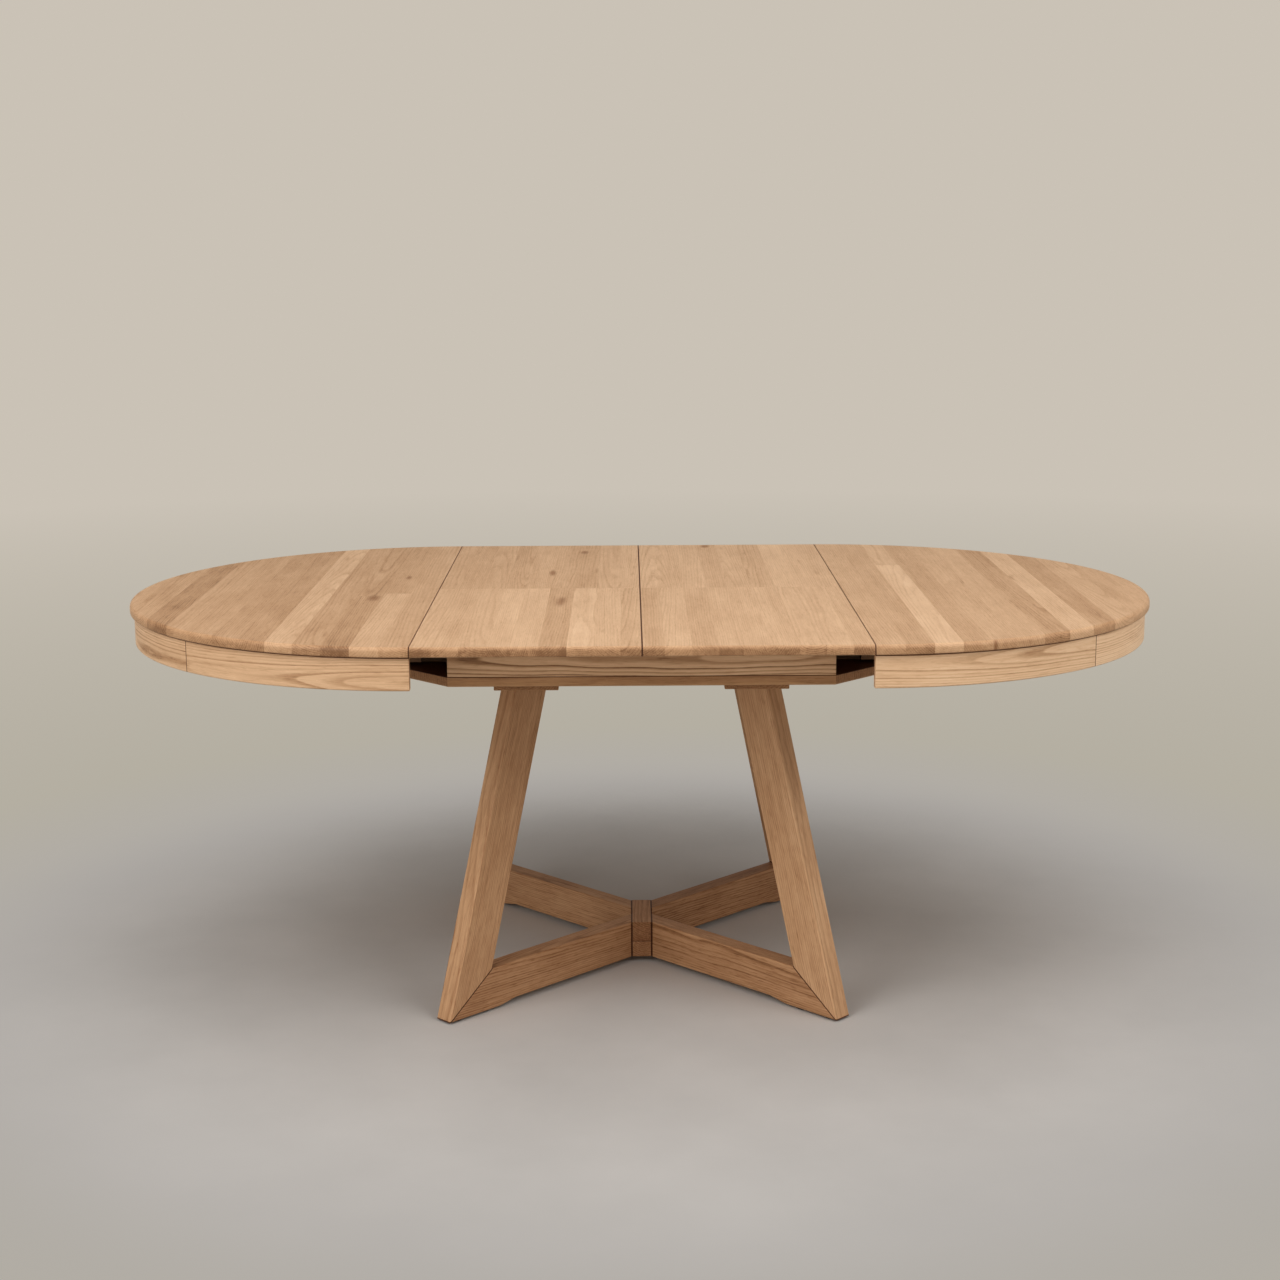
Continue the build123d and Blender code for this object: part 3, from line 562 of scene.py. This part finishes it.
def half_top(side_name, side, tones, seed):
    """One half-round top, staves counted from its seam outward."""
    seam = SEAM_X - SEAM_CLOSE
    bm = disc_mesh(side * HALF_CENTRE)
    cut(bm, (side * seam, 0, 0), (-side, 0, 0), clear=True)
    ease_seams(bm, [side * seam])
    count = len(tones)
    places = [side * (SEAM_X + STAVE * step) for step in range(count)]
    places.append(side * (HALF_CENTRE + RADIUS + STAVE))
    if side < 0:
        places.reverse()
        tones = list(reversed(tones))
    piece = board(
        f"{side_name}_top_staves", bm, places, [tone[:2] for tone in tones],
        [tone[2] for tone in tones], seed, f"{side_name}_half", OAK_HALVES)
    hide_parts(f"{side_name}_top")


def leaf(side_name, front, rear, seed):
    """One leaf: two rows of staves that meet end to end across its middle."""
    low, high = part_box(f"{side_name}_leaf")
    on_left = low.x < 0
    start = low.x - (SEAM_CLOSE if on_left else CENTRE_CLOSE)
    stop = high.x + (CENTRE_CLOSE if on_left else SEAM_CLOSE)
    bm = bar_mesh(start, stop)
    ease_seams(bm, [start, stop])
    scale = (stop - start) / sum(LEAF_WIDTHS)
    places = [start]
    for width in LEAF_WIDTHS:
        places.append(places[-1] + width * scale)
    piece = board(
        f"{side_name}_leaf_staves", bm, places, list(zip(front, rear)),
        [LEAF_BUTT] * len(front), seed, f"{side_name}_leaf", OAK_LEAVES)
    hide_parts(f"{side_name}_leaf")


ALONG_Y = ((0, 1, 0), (1, 0, 0), (0, 0, -1))
ALONG_X = ((1, 0, 0), (0, 1, 0), (0, 0, 1))
SEAMS = [
    ((1, 0, 0), -HALF_CENTRE, SIDE_LINE), ((1, 0, 0), 0.0, CENTRE_LINE),
    ((1, 0, 0), HALF_CENTRE, SIDE_LINE)]
HALF_KNOTS = [
    (-0.520, -0.095, 0.020, 0.042), (0.612, -0.562, 0.006, 0.008),
    (-0.475, 0.150, 0.008, 0.030)]
LEAF_KNOTS = [
    (-0.120, 0.490, 0.012, 0.030), (-0.180, 0.200, 0.010, 0.050),
    (-0.152, -0.150, 0.013, 0.070), (0.150, 0.570, 0.012, 0.028)]
STAVED = dict(
    ring=0.0034, figure=0.30, mottle=0.46, wander=0.010, coarse=0.65, staves=True, joints=SEAMS)
OAK_HALVES = wood("oak_halves", OAK, ALONG_Y, end_grain=0.50, knots=HALF_KNOTS, **STAVED)
OAK_LEAVES = wood("oak_leaves", OAK, ALONG_Y, end_grain=1.05, knots=LEAF_KNOTS, **STAVED)
half_top("left", -1, LEFT_TONES, 11)
half_top("right", 1, RIGHT_TONES, 23)
leaf("left", LEFT_LEAF_FRONT, LEFT_LEAF_REAR, 37)
leaf("right", RIGHT_LEAF_FRONT, RIGHT_LEAF_REAR, 41)


# ---------------------------------------------------------------- CAD nodes and their materials

def paint(node, material):
    """Gives a CAD node one material in place of its own."""
    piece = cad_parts[node]
    piece.data.materials.clear()
    piece.data.materials.append(material)


def basis(along, up):
    """Rows: along the grain, across it, and through the board."""
    along = Vector(along).normalized()
    across = Vector(up).cross(along).normalized()
    through = along.cross(across)
    return (tuple(along), tuple(across), tuple(through))


def paint_aprons():
    """Each segment's grain follows its curve, and a dark line shows where two segments meet.
    A band of painted shadow runs along its top under the rim.
    """
    chance = random.Random(5)
    level = (UNDER_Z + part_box("left_apron_front")[0].z) / 2
    tones = {
        "left_front": 0.62, "left_front_corner": 0.60,
        "right_front": 0.95, "right_front_corner": 1.15}
    for side_name, side in (("left", -1), ("right", 1)):
        centre = side * HALF_CENTRE
        low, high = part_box(f"{side_name}_apron_front_corner")
        reach = abs((high if side > 0 else low).x - centre)
        for end_name, end in (("front", -1), ("rear", 1)):
            normal = (-end * DIAGONAL, side * DIAGONAL, 0)
            # The line along the apron's top is painted shadow under the rim, over the joint
            # there.
            joints = [
                (normal, normal[0] * centre, APRON_LINE), ((0, 1, 0), 0.0, APRON_LINE),
                ((0, 0, 1), UNDER_Z, APRON_TOP_SHADOW_LINE)]
            for corner in ("", "_corner"):
                node = f"{side_name}_apron_{end_name}{corner}"
                shift = (
                    chance.uniform(-1.5, 1.5), -level + chance.uniform(-0.03, 0.03),
                    chance.uniform(0.025, 0.04))
                tone = tones.get(node.replace("_apron", ""), 0.70)
                paint(node, wood(
                    f"oak_{node}", OAK, None, shift, tone, ring=0.0030, figure=0.85, wander=0.012,
                    end_grain=0.3, joints=joints, bend=(centre, reach)))


def paint_base():
    """Legs lie along their lean, stretchers along the floor diagonal."""
    chance = random.Random(8)
    along_mitre = (Vector(MITRE_INNER) - Vector(MITRE_FOOT)).normalized()
    square = Vector((along_mitre.y, -along_mitre.x))
    tones = {
        "leg_front_left": 0.62, "leg_front_right": 0.76,
        "leg_rear_left": 0.68, "leg_rear_right": 0.72,
        "stretcher_front_left": 0.27, "stretcher_front_right": 0.26, "stretcher_rear_left": 0.42,
        "stretcher_rear_right": 0.04}
    for side_name, side in (("left", -1), ("right", 1)):
        for end_name, end in (("front", -1), ("rear", 1)):
            outward = Vector((side * DIAGONAL, end * DIAGONAL, 0))
            sideways = Vector((-end * DIAGONAL, side * DIAGONAL, 0))
            lean = Vector((0, 0, 1)) * math.cos(LEG_LEAN) - outward * math.sin(LEG_LEAN)
            mitre = tuple(outward * square.x + Vector((0, 0, square.y)))
            joints = [
                (mitre, square.dot(Vector(MITRE_FOOT)), MITRE_LINE),
                ((1, 0, 0), side * HUB_HALF, STRETCHER_END_LINE)]
            for kind, along in (("leg", lean), ("stretcher", outward)):
                node = f"{kind}_{end_name}_{side_name}"
                low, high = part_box(node)
                rows = basis(along, sideways)
                place = Matrix(rows) @ ((low + high) / 2)
                shift = (
                    chance.uniform(-1, 1), -place.y + chance.uniform(0.04, 0.09),
                    -place.z + chance.uniform(-0.04, 0.04))
                paint(node, wood(
                    f"oak_{node}", OAK_BASE, rows, shift, tones[node],
                    ring=0.0040, figure=0.55, mottle=0.50, coarse=1.10, joints=joints))


def paint_wood(nodes, ramp, rows, tone, seed, figure=0.40, ring=0.0042, joints=(),
               painted_shade_faces=False):
    """Same timber for several nodes, each cut from its own board."""
    chance = random.Random(seed)
    for node in nodes:
        low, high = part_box(node)
        place = Matrix(rows) @ ((low + high) / 2)
        shift = (
            chance.uniform(-1, 1), -place.y + chance.uniform(-0.04, 0.04),
            -place.z + chance.uniform(0.03, 0.09))
        paint(node, wood(
            f"wood_{node}", ramp, rows, shift, tone + chance.uniform(-0.05, 0.05), ring, figure,
            joints=joints, painted_shade_faces=painted_shade_faces))


def paint_rest():
    """Rails, panel, battens and hub in oak, the hidden timber in beech, then metal and felt."""
    # Dark lines where the rails sit on the panel and along the rails' tops under the leaves:
    # painted shadow in those gaps, over the joints.
    on_panel = [((0, 0, 1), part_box("base_panel")[1].z, PANEL_JOINT_SHADOW_LINE)]
    on_rail = on_panel + [((0, 0, 1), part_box("rail_front")[1].z, RAIL_TOP_SHADOW_LINE)]
    paint_wood(
        ["rail_front", "rail_rear"], OAK, basis((1, 0, 0), (0, 1, 0)), 0.70, 3, 1.30, 0.0038,
        joints=on_rail)
    # The panel's top face is painted dark all over: painted shade inside the opening under the
    # top.
    paint_wood(["base_panel"], OAK_FRAME, ALONG_X, 0.54, 4, joints=on_panel, painted_shade_faces=True)
    paint_wood(["batten_left", "batten_right"], OAK_FRAME, ALONG_Y, 0.62, 6)
    in_hub = [((1, 0, 0), side * HUB_HALF, HUB_SIDE_LINE) for side in (-1, 1)]
    in_hub.append(((0, 0, 1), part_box("hub_block_lower")[1].z, HUB_LAYER_LINE))
    paint_wood(["hub_block_upper"], OAK_BASE, ALONG_Y, 0.30, 7, joints=in_hub)
    paint_wood(["hub_block_lower"], OAK_BASE, ALONG_Y, 0.45, 9, joints=in_hub)
    for side in ("left", "right"):
        paint_wood([f"{side}_bearer_front", f"{side}_bearer_rear"], BEECH, ALONG_X, 0.5, 12)
        paint_wood([f"{side}_apron_blocks"], BEECH, basis((0, 0, 1), (1, 0, 0)), 0.5, 13)
        paint_wood([f"{side}_leaf_cleats"], BEECH, ALONG_X, 0.5, 14)
    # The beams are toned near the dark end: painted shade inside the opening.
    paint_wood(["beam_front", "beam_rear"], BEECH, ALONG_X, 0.10, 15)
    paint_wood(["mitre_tenons"], BEECH, basis((0, 0, 1), (1, 0, 0)), 0.6, 16)
    paint_wood(["hub_dowels"], BEECH, ALONG_X, 0.6, 17)
    black = steel("black_plate", BLACK_PLATE, 0.40)
    zinc = steel("zinc_plate", ZINC_PLATE, 0.34)
    yellow = steel("yellow_zinc", YELLOW_ZINC, 0.36)
    brown_felt = felt("brown_felt")
    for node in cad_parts:
        if node.endswith("_screws"):
            paint(node, yellow)
        elif "slide" in node:
            paint(node, black)
        elif node in ("leg_bolts", "leg_inserts"):
            paint(node, zinc)
        elif node in ("felt_pads", "glide_strips"):
            paint(node, brown_felt)


paint_aprons()
paint_base()
paint_rest()


# ---------------------------------------------------------------- floor, light and camera

FLOOR_SIZE = 30
FLOOR_DROP = 0.0005
FADE_START = 0.8
FADE_END = 1.6
# Each light's name, place, size in metres and power in watts. All face one point.
LIT_POINT = (0, 0, 0.5)
LIGHTS = [
    ("front_left", (-2.6, -2.6, 3.4), 2.5, 85),
    ("front_right", (2.6, -2.6, 3.4), 2.5, 62),
    ("overhead", (0, 0, 4.0), 5.0, 75),
    ("side_right", (3.6, -1.6, 2.4), 2.0, 19),
    ("fill_left", (-3.2, -3.6, 1.5), 2.5, 26),
]
# Lens and place that were fitted to the seams, rims and feet.
CAMERA_PLACE = (-0.0235, -4.0642, 1.4366)
PITCH = math.radians(10.951)
YAW = -0.0057
ROLL = -0.0049
SENSOR_WIDTH = 36
FOCAL_LENGTH = 58.115


def make_floor():
    """Plain pale floor that fades into the pale surround well away from the table."""
    bm = bmesh.new()
    bmesh.ops.create_grid(bm, x_segments=1, y_segments=1, size=FLOOR_SIZE)
    mesh = bpy.data.meshes.new("floor")
    bm.to_mesh(mesh)
    bm.free()
    floor = bpy.data.objects.new("floor", mesh)
    floor.location = (0, 0, -FLOOR_DROP)
    bpy.context.scene.collection.objects.link(floor)
    g = Graph("pale_floor")
    coords = g.node("ShaderNodeTexCoord").outputs["Object"]
    patches = g.noise(coords, (1.6, 1.6), detail=5.0, roughness=0.6)
    g.link(g.ramp(patches, FLOOR_PATCHES), g.shader.inputs["Base Color"])
    g.shader.inputs["Roughness"].default_value = 0.75
    reach = g.length(coords)
    glow = g.node("ShaderNodeEmission")
    distance = g.math("MULTIPLY", reach, 0.1)
    surround = ((0.13, FLOOR_EDGE), (0.20, BACKDROP_LOW), (0.80, SURROUND))
    g.link(g.ramp(distance, surround), glow.inputs["Color"])
    mix = g.node("ShaderNodeMixShader")
    g.link(g.smooth(reach, FADE_START, FADE_END), mix.inputs["Fac"])
    g.link(g.shader.outputs["BSDF"], mix.inputs[1])
    g.link(glow.outputs["Emission"], mix.inputs[2])
    g.link(mix.outputs["Shader"], g.tree.nodes["Material Output"].inputs["Surface"])
    floor.data.materials.append(g.material)


def area_light(name, place, size, power):
    light = bpy.data.lights.new(name, "AREA")
    light.shape = "SQUARE"
    light.size = size
    light.energy = power
    light.color = WARM_WHITE
    lamp = bpy.data.objects.new(name, light)
    lamp.visible_camera = False
    lamp.location = place
    lamp.rotation_mode = "QUATERNION"
    lamp.rotation_quaternion = (Vector(LIT_POINT) - Vector(place)).to_track_quat("-Z", "Y")
    bpy.context.scene.collection.objects.link(lamp)


def make_light():
    """Pale round the horizon and dim above, with soft boxes in front, beside and overhead."""
    world = bpy.data.worlds.new("studio")
    world.use_nodes = True
    tree = world.node_tree
    coords = tree.nodes.new("ShaderNodeTexCoord")
    split = tree.nodes.new("ShaderNodeSeparateXYZ")
    tree.links.new(coords.outputs["Generated"], split.inputs[0])
    band = tree.nodes.new("ShaderNodeMapRange")
    band.interpolation_type = "SMOOTHSTEP"
    band.inputs["From Min"].default_value = 0.20
    band.inputs["From Max"].default_value = 0.55
    band.inputs["To Min"].default_value = 1.0
    band.inputs["To Max"].default_value = 0.15
    tree.links.new(split.outputs["Z"], band.inputs["Value"])
    background = tree.nodes["Background"]
    background.inputs["Color"].default_value = (*SURROUND, 1.0)
    tree.links.new(band.outputs["Result"], background.inputs["Strength"])
    bpy.context.scene.world = world
    for name, place, size, power in LIGHTS:
        area_light(name, place, size, power)


def make_camera():
    """Camera from its pitch down, its yaw and its roll."""
    level = Vector((-math.sin(YAW), math.cos(YAW), 0))
    side = Vector((math.cos(YAW), math.sin(YAW), 0))
    ahead = level * math.cos(PITCH) - Vector((0, 0, math.sin(PITCH)))
    upright = level * math.sin(PITCH) + Vector((0, 0, math.cos(PITCH)))
    right = side * math.cos(ROLL) + upright * math.sin(ROLL)
    up = upright * math.cos(ROLL) - side * math.sin(ROLL)
    lens = bpy.data.cameras.new("camera")
    lens.sensor_width = SENSOR_WIDTH
    lens.lens = FOCAL_LENGTH
    camera = bpy.data.objects.new("camera", lens)
    turn = Matrix((right, up, -ahead)).transposed()
    camera.matrix_world = Matrix.Translation(CAMERA_PLACE) @ turn.to_4x4()
    bpy.context.scene.collection.objects.link(camera)
    bpy.context.scene.camera = camera


make_floor()
make_light()
make_camera()
view = bpy.context.scene.view_settings
view.view_transform = "Standard"
view.gamma = 0.88
view.exposure = 0.20
